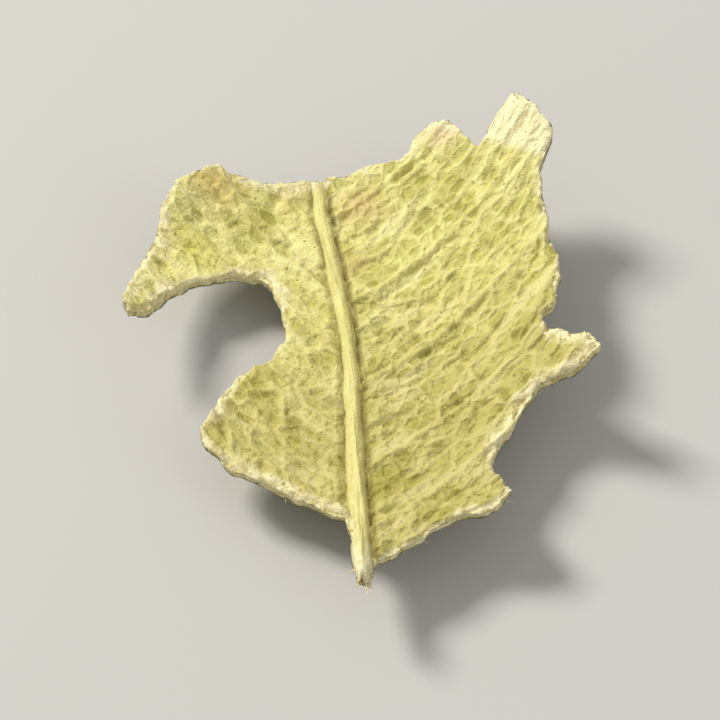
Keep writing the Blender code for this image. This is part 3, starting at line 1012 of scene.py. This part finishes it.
def upper_colour(nodes, plan, mapped, masks):
    """The leaf's pale underside, which faces up."""
    soft, mottle, speck = (nodes.cloud(plan, scale, 4.0) for scale in UP_SCALES)
    streaks = nodes.cloud(mapped, STREAK_STRETCH, 4.0)
    worn = nodes.cloud(plan, WORN_SCALE) + nodes.step(nodes.split(plan)[0], *LEFT) * WORN_LEFT
    worn = nodes.step(worn, *WORN)
    # Painted shade: 0 at the upper left, 1 towards the lower right.
    painted_shade = nodes.step(nodes.arrow("DOT_PRODUCT", plan, PAINTED_SHADE_WAY)["Value"], *PAINTED_SHADE_SPAN)
    colour = lay(nodes, UP_SKIN, UP_PALER, soft)
    for size_share, field, strength in UP_FIELDS:
        colour = over(nodes, colour, field, field_tone(nodes, mapped, size_share) * strength)
    for layer, pattern in ((UP_BLOTCHES, mottle), (UP_SPECKS, speck), (UP_STREAKS, streaks)):
        colour = lay(nodes, colour, layer, pattern, worn, painted_shade)
    colour = marked(nodes, veined(nodes, colour, masks, *UP_VEINS), plan)
    # Painted shade along the crevice beside the midrib, stronger on its right.
    right = nodes.step(nodes.split(mapped)[2], -1, 1) * CREVICE_SHADE_MORE_RIGHT + CREVICE_SHADE_LEFT
    colour = over(nodes, colour, CREVICE_SHADE_TONE, masks["crevice"] * right * nodes.step(mottle, *CREVICE_SHADE_BREAKS))
    # Painted shade, darker towards the lower right.
    colour = over(nodes, colour, PAINTED_SHADE_TONE, painted_shade * PAINTED_SHADE_SHARE)
    wood = lay(nodes, WOOD, WOOD_DARK, strands(nodes, mapped, *WOOD_STRANDS))
    wood = over(nodes, wood, STUB_TONE, near_to(nodes, plan, STUB, STUB_REACH) * STUB_SHARE)
    return over(nodes, colour, wood, nodes.step(masks["midrib"], *WOOD_EDGE) * WOOD_SHARE)


print("The skin that faces up goes from", UP_SKIN, "to", UP_PALER.tone)

# %% The face that lies down
DOWN_SCALES = 0.7, 2.6, 9.0
DOWN_SKIN, DOWN_PALER = (122, 122, 66), Layer((160, 156, 88), 0.38, 0.62)
DOWN_BLOTCHES = Layer((116, 96, 58), 0.50, 0.66, 0.65)
DOWN_FADED = Layer((180, 172, 112), 0.46, 0.34, 0.45)
DOWN_SPECKS = Layer((86, 74, 40), 0.58, 0.70, 0.50)
DOWN_VEINS = (172, 166, 102), 0.45, 0.25, (170, 162, 98), 0.5
DOWN_MIDRIB = Layer((184, 174, 110), 0.1, 0.8, 0.7)


def lower_colour(nodes, plan, masks):
    """The leaf's darker, smoother side, which lies down."""
    soft, mottle, speck = (nodes.cloud(plan, scale, 4.0) for scale in DOWN_SCALES)
    colour = lay(nodes, DOWN_SKIN, DOWN_PALER, soft)
    for layer, pattern in ((DOWN_BLOTCHES, mottle), (DOWN_FADED, mottle), (DOWN_SPECKS, speck)):
        colour = lay(nodes, colour, layer, pattern)
    return lay(nodes, veined(nodes, colour, masks, *DOWN_VEINS), DOWN_MIDRIB, masks["midrib"])


print("The skin that lies down goes from", DOWN_SKIN, "to", DOWN_PALER.tone)

# %% [markdown]
# ## The torn tissue, and the whole blade
#
# Where the skin is torn off, the tissue inside shows. It is cream, in thin layers with darker grain,
# and it covers the wall of the tear, the peeled band and a rim of uneven width. On the tooth it is
# bleached nearly white. Last comes a fine dark grain over everything.
#
# Relief too fine for the mesh, such as grain and fibres, goes into a Bump node. Its heights are in
# millimetres, as all else here.

# %% The pale rim
RIM_SCALE, RIM_UNEVEN = 1.2, (0.42, 0.66)
RIM_LEAST, RIM_MORE, RIM_BROAD = 0.04, 0.24, 0.26   # the pale rim's width, in millimetres
RIM_SHARP, FRAYED, FRAYED_SCALE = 0.3, 0.20, 11.0
RIM_SHARE, PEELED_SHARE = 0.85, 0.90


def pale_rim(nodes, plan, masks):
    """1 where the torn edge is cream: along a rim of uneven width, and where the skin is peeled."""
    uneven = nodes.step(nodes.cloud(plan, RIM_SCALE, 5.0), *RIM_UNEVEN)
    reach = uneven * RIM_MORE + RIM_LEAST + broadly_pale(nodes, plan) * RIM_BROAD
    frayed = masks["rim"] + nodes.sway(plan, FRAYED_SCALE, 3.0) * FRAYED
    pale = nodes.step(frayed, reach, reach * RIM_SHARP)
    return nodes.sum("MAXIMUM", pale * RIM_SHARE, masks["peeled"] * PEELED_SHARE)


print("The pale rim reaches", RIM_LEAST, "to", round(RIM_LEAST + RIM_MORE + RIM_BROAD, 2), "mm in")

# %% The blade's material
RAGGED_SCALE, GRAIN_SCALE, TISSUE_STRETCH = 4.0, 24.0, (5, 5, 26)
UP_LEVEL, WALL_LEVEL = (0.0, 0.25), (0.05, 0.55)    # where the upper face's colour and the wall begin
TISSUE_LAYERS = Layer((208, 192, 124), 0.42, 0.66, 0.85)
TISSUE_GRAIN = Layer((176, 158, 92), 0.52, 0.80, 0.55)
BLEACHED, LESS_BLEACHED = (255, 244, 194), Layer((246, 227, 164), 0.48, 0.72, 0.6)
DARK_GRAIN = Layer((150, 136, 66), 0.62, 0.85, 0.30)
FIBROUS = 26, 1.2                       # fine fibres on the midrib, counted as its strands are
ROUGH, ROUGH_RAGGED, ROUGH_GRAIN = 0.58, 0.18, 0.12
GRAIN_BUMP, FINE_BUMP, NET_BUMP, FIBRE_BUMP, TISSUE_BUMP = 0.028, 0.012, 0.008, 0.030, 0.030


def blade_material():
    """Both faces and the torn tissue between them."""
    material, nodes = start_material("dried_leaf_blade")
    place, plan = place_in_leaf(nodes)
    mapped = nodes.add("ShaderNodeAttribute", {"attribute_name": "vein_map"})["Vector"]
    masks = {name: painted(nodes, name) for name in ("level", "rim", "midrib", "crevice", "vein", "peeled")}
    masks["net"], masks["fine"], _ = both_nets(nodes, mapped, masks["midrib"])
    ragged, grain = nodes.cloud(plan, RAGGED_SCALE, 4.0), nodes.cloud(place, GRAIN_SCALE, 3.0)
    layers = nodes.cloud(place, TISSUE_STRETCH, 4.0)
    wall = nodes.step(halfway(masks["level"]), *WALL_LEVEL)

    colour = over(nodes, lower_colour(nodes, plan, masks), upper_colour(nodes, plan, mapped, masks),
                  nodes.step(masks["level"], *UP_LEVEL))
    tissue = lay(nodes, lay(nodes, CREAM, TISSUE_LAYERS, layers), TISSUE_GRAIN, grain)
    pale = pale_rim(nodes, plan, masks) * masks["level"]
    colour = over(nodes, colour, tissue, nodes.sum("MAXIMUM", pale, wall))
    bleached = lay(nodes, BLEACHED, LESS_BLEACHED, ragged)
    colour = over(nodes, colour, bleached, tooth_mask(nodes, plan, ragged) * masks["level"])
    colour = lay(nodes, colour, DARK_GRAIN, grain)

    rough = ROUGH + ragged * ROUGH_RAGGED + grain * ROUGH_GRAIN
    relief = grain * GRAIN_BUMP + masks["fine"] * FINE_BUMP + masks["net"] * NET_BUMP
    fibrous = strands(nodes, mapped, *FIBROUS) * masks["midrib"]
    relief = relief + fibrous * FIBRE_BUMP + layers * wall * TISSUE_BUMP
    normal = nodes.add("ShaderNodeBump", None, {"Strength": 1.0, "Distance": MM, "Height": relief})
    end_material(nodes, {"Base Color": colour, "Roughness": rough, "Normal": normal,
                         "Specular IOR Level": 0.35, "Subsurface Weight": 0.10,
                         "Subsurface Radius": (0.20, 0.17, 0.06), "Subsurface Scale": MM})
    return material


run_tree(blade_nodes, leaf_blade,
         {"Midrib": midrib_line, "Side Veins": vein_lines, "Material": blade_material()})
print("Attributes kept:", [a.name for a in leaf_blade.data.attributes if not a.name.startswith(".")])

# %% [markdown]
# ## Oil glands
#
# The lemon scent sits in glands in the blade, which show as fine dots between the veins. They could
# be bumps in the material, but a low light picks out real domes. So a tree scatters points over the
# blade's upper skin, never closer to each other than a set distance, off the midrib and off the torn
# band, and sets a flat, half-sunk dome on each.

# %% The tree that grows the glands
gland_nodes, size = start_tree("oil_glands", {
    "Blade": bpy.types.Object, "Material": bpy.types.Material, "Apart": 0.15, "Density": 26.0, "Seed": 4,
    "Smallest": 0.013, "Largest": 0.028, "Flatness": 0.55, "Segments": 8, "Rings": 5,
    "Clear Of Edge": 0.14, "Clear Of Midrib": 0.05, "Upper Level": 0.99})


def blade_surface(nodes, size):
    """The finished blade, read from its object."""
    return nodes.add("GeometryNodeObjectInfo", None, {"Object": size["Blade"]})["Geometry"]


def grow_glands(nodes, size):
    """Fill the tree."""
    on_top = nodes.sum("GREATER_THAN", stored(nodes, "level"), size["Upper Level"])
    clear = nodes.sum("GREATER_THAN", stored(nodes, "rim"), size["Clear Of Edge"])
    beside = nodes.sum("LESS_THAN", stored(nodes, "midrib"), size["Clear Of Midrib"])
    points = nodes.add("GeometryNodeDistributePointsOnFaces", {"distribute_method": "POISSON"},
                       {"Mesh": blade_surface(nodes, size), "Selection": on_top * clear * beside,
                        "Distance Min": size["Apart"], "Density Max": size["Density"], "Seed": size["Seed"]})
    dome = nodes.add("GeometryNodeMeshUVSphere", None,
                     {"Segments": size["Segments"], "Rings": size["Rings"], "Radius": 1.0})
    radius = nodes.add("FunctionNodeRandomValue", None,
                       {"Min": size["Smallest"], "Max": size["Largest"], "Seed": size["Seed"]})
    scale = nodes.join(radius, radius, radius * size["Flatness"])
    return nodes.add("GeometryNodeInstanceOnPoints", None,
                     {"Points": points, "Instance": dome, "Rotation": points["Rotation"], "Scale": scale})


end_tree(gland_nodes, size, grow_glands(gland_nodes, size))
print("The tree has", len(gland_nodes.tree.nodes), "nodes")

# %% The glands
GLAND_SCALE, GLAND, GLAND_PALER = 2.2, (186, 172, 78), Layer((220, 208, 120), 0.35, 0.65)
TOOTH_GLANDS = 0.8          # how nearly the glands on the cream tooth are cream


def gland_material():
    """Dried oil: a little darker and glossier than the skin."""
    material, nodes = start_material("dried_oil_gland")
    _, plan = place_in_leaf(nodes)
    uneven = nodes.cloud(plan, GLAND_SCALE)
    colour = lay(nodes, GLAND, GLAND_PALER, uneven)
    colour = over(nodes, colour, CREAM, tooth_mask(nodes, plan, uneven) * TOOTH_GLANDS)
    end_material(nodes, {"Base Color": colour, "Roughness": 0.42, "Specular IOR Level": 0.4})
    return material


oil_glands = new_piece("oil_glands", bpy.data.meshes.new("oil_glands"))
run_tree(gland_nodes, oil_glands, {"Blade": leaf_blade, "Material": gland_material()})

# %% [markdown]
# ## Fibres in the tears
#
# Where a leaf is torn, the ends of its veins stand out as fibres, most of all at the two ends of the
# midrib. They could be hair, but hair is no mesh and would be lost when the piece is handed on. So one
# bent, tapered fibre is made inside a tree and set many times on the torn wall, turned outwards by
# chance amounts. More of them, and longer ones, stand where the midrib is torn through.

# %% One fibre
FIBRES = {
    "Blade": bpy.types.Object, "Material": bpy.types.Material, "Density": 30.0, "More At Midrib": 520.0,
    "Seed": 9, "Length": 0.085, "Thickness": 0.0065, "Tip": 0.25, "Sides": 5, "Segments": 4,
    "Shortest": 0.30, "Longest": 1.30, "Longer At Midrib": 1.2, "Bend": 0.05, "Spread": 1.2, "Pull": 2.2,
    "Lowest Level": 0.15, "Highest Level": 0.85}


def one_fibre(nodes, size):
    """A thin cone, bent to one side, with its root at the origin."""
    cone = nodes.add("GeometryNodeMeshCone", None,
                     {"Vertices": size["Sides"], "Side Segments": size["Segments"], "Depth": size["Length"],
                      "Radius Top": size["Thickness"] * size["Tip"], "Radius Bottom": size["Thickness"]})
    _, _, up = nodes.split(nodes.add("GeometryNodeInputPosition"))
    share = up / size["Length"]
    bent = nodes.join(share * share * size["Bend"], 0, 0)
    return nodes.add("GeometryNodeSetPosition", None, {"Geometry": cone, "Offset": bent})


print("One fibre has", FIBRES["Sides"] * FIBRES["Segments"], "faces round it")

# %% The tree that grows the fibres
LEAN = Vector((1, 1, 0.7))              # fibres lean less up and down than sideways
ON_MIDRIB, FACING_OUT = (0.1, 0.5), (0.1, 0.7)      # from nothing to full


def grow_fibres(nodes, size):
    """Fill the tree."""
    level = stored(nodes, "level")
    on_wall = (nodes.sum("GREATER_THAN", level, size["Lowest Level"])
               * nodes.sum("LESS_THAN", level, size["Highest Level"]))
    _, y, _ = nodes.split(nodes.add("GeometryNodeInputPosition"))
    outward = nodes.join(0, nodes.sum("SIGN", y - ORIGIN[1]), 0)
    facing = nodes.arrow("DOT_PRODUCT", nodes.add("GeometryNodeInputNormal"), outward)["Value"]
    torn_midrib = nodes.step(stored(nodes, "midrib"), *ON_MIDRIB) * nodes.step(facing, *FACING_OUT)
    blade = store(nodes, blade_surface(nodes, size), "torn_midrib", torn_midrib)
    at_end = stored(nodes, "torn_midrib")
    points = nodes.add("GeometryNodeDistributePointsOnFaces", None,
                       {"Mesh": blade, "Selection": on_wall, "Seed": size["Seed"],
                        "Density": size["Density"] + at_end * size["More At Midrib"]})
    lean = nodes.add("FunctionNodeRandomValue", {"data_type": "FLOAT_VECTOR"},
                     {"Min": -LEAN, "Max": LEAN, "Seed": size["Seed"] + 1})
    way = nodes.arrow("ADD", points["Normal"], nodes.scaled(lean, size["Spread"]))
    way = nodes.arrow("ADD", way, nodes.scaled(outward, at_end * size["Pull"]))
    rotation = nodes.add("FunctionNodeAlignRotationToVector", {"axis": "Z"}, {"Vector": way})
    scale = nodes.add("FunctionNodeRandomValue", None,
                      {"Min": size["Shortest"], "Max": size["Longest"], "Seed": size["Seed"] + 2})
    scale = scale * (1 + at_end * size["Longer At Midrib"])
    return nodes.add("GeometryNodeInstanceOnPoints", None,
                     {"Points": points, "Instance": one_fibre(nodes, size), "Rotation": rotation,
                      "Scale": scale})


fibre_nodes, size = start_tree("torn_fibres", FIBRES)
end_tree(fibre_nodes, size, grow_fibres(fibre_nodes, size))
print("The tree has", len(fibre_nodes.tree.nodes), "nodes")

# %% The fibres
FIBRE_SCALE, FIBRE, FIBRE_TAN = 6.0, (244, 235, 194), Layer((214, 196, 138), 0.4, 0.7)


def fibre_material():
    """Dry vein fibre: cream, with tan strands among it."""
    material, nodes = start_material("dry_fibre")
    place, _ = place_in_leaf(nodes)
    colour = lay(nodes, FIBRE, FIBRE_TAN, nodes.cloud(place, FIBRE_SCALE))
    end_material(nodes, {"Base Color": colour, "Roughness": 0.6, "Specular IOR Level": 0.3})
    return material


torn_fibres = new_piece("torn_fibres", bpy.data.meshes.new("torn_fibres"))
run_tree(fibre_nodes, torn_fibres, {"Blade": leaf_blade, "Material": fibre_material()})

# %% [markdown]
# ## Into the frame
#
# The guide lines of the veins have done their work and go. Each piece is brought from the plan's
# millimetres to the frame's metres, and is told which body it moves with. The blade takes the plain
# solid's place in the picture.

# %% The pieces in the frame
for line in (midrib_line, vein_lines):
    bpy.data.objects.remove(line, do_unlink=True)
for piece in (leaf_blade, oil_glands, torn_fibres):
    settle_in_frame(piece)
    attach(piece, "root")
    print(piece.name, "is", [round(side / MM, 2) for side in piece.dimensions], "mm")
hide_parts("leaf_piece")

# %% [markdown]
# ## A board to lie on
#
# So small a thing is best seen on something plain and pale, a little darker than its cream edges, so
# that they still stand out against it. One flat face is enough.

# %% Floor
FLOOR_HALF = 0.4
FLOOR_TONE, FLOOR_ROUGHNESS = tone(197, 195, 190), 0.8

floor_material, nodes = start_material("pale_board")
end_material(nodes, {"Base Color": FLOOR_TONE, "Roughness": FLOOR_ROUGHNESS})
floor_mesh = bpy.data.meshes.new("floor")
corners = [(x * FLOOR_HALF, y * FLOOR_HALF, 0) for x, y in ((-1, -1), (1, -1), (1, 1), (-1, 1))]
floor_mesh.from_pydata(corners, [], [(0, 1, 2, 3)])
floor_mesh.materials.append(floor_material)
floor = new_piece("floor", floor_mesh)
print("The floor is", 2 * FLOOR_HALF, "m wide")

# %% [markdown]
# ## Soft light from the upper left
#
# In the reference the light comes from the upper left: the midrib has its shadow on its right. A
# square lamp there, a hand's breadth away, gives shadows with soft edges, and a weak cool one opposite
# keeps them from going dead. The pale room around them lights the rest. The plain Standard view keeps
# the leaf's yellow green as it is written in its tones, where a filmic one would fade it.

# %% Light
LAMPS = {       # place and size in metres, power in watts, tint
    "key_light": ((-0.11, 0.075, 0.135), 0.050, 0.345, (1.0, 0.98, 0.93)),
    "fill_light": ((0.14, -0.10, 0.12), 0.120, 0.050, (0.94, 0.97, 1.0)),
}
ROOM_STRENGTH = 0.44


def softbox(name, place, width, power, tint):
    """A square soft lamp that looks at the piece."""
    light = bpy.data.lights.new(name, "AREA")
    light.size, light.energy, light.color = width, power, tint
    lamp = new_piece(name, light)
    lamp.location = place
    lamp.rotation_euler = (-Vector(place)).to_track_quat("-Z", "Y").to_euler()
    lamp.visible_camera = False


for name, lamp in LAMPS.items():
    softbox(name, *lamp)
room = bpy.data.worlds.new("pale_room")
room.use_nodes = True
background = room.node_tree.nodes["Background"].inputs
background["Color"].default_value = (1, 1, 1, 1)
background["Strength"].default_value = ROOM_STRENGTH
bpy.context.scene.world = room
bpy.context.scene.view_settings.view_transform = "Standard"
print(len(LAMPS), "lamps")

# %% [markdown]
# ## The camera
#
# In the reference the line of sight meets the blade at about 52 degrees. The flake lies level here,
# so the camera looks down on it at that angle. A long lens from further away keeps so small a thing
# from looking bent, as a macro lens does.

# %% Camera
LENS, SENSOR = 180.0, 36.0
FRAME_WIDTH = 11.6 * MM         # what the picture is wide, at the flake
AIM_HEIGHT = 0.9 * MM

camera_data = bpy.data.cameras.new("camera")
camera_data.lens, camera_data.sensor_width = LENS, SENSOR
camera_data.clip_start, camera_data.clip_end = 0.001, 2.0
camera = new_piece("camera", camera_data)
back = Vector((0, -math.cos(SIGHT), math.sin(SIGHT)))
camera.location = Vector((0, 0, AIM_HEIGHT)) + back * FRAME_WIDTH * LENS / SENSOR
camera.rotation_euler = (-back).to_track_quat("-Z", "Y").to_euler()
bpy.context.scene.camera = camera
print("The camera is", round(camera.location.length, 3), "m away")
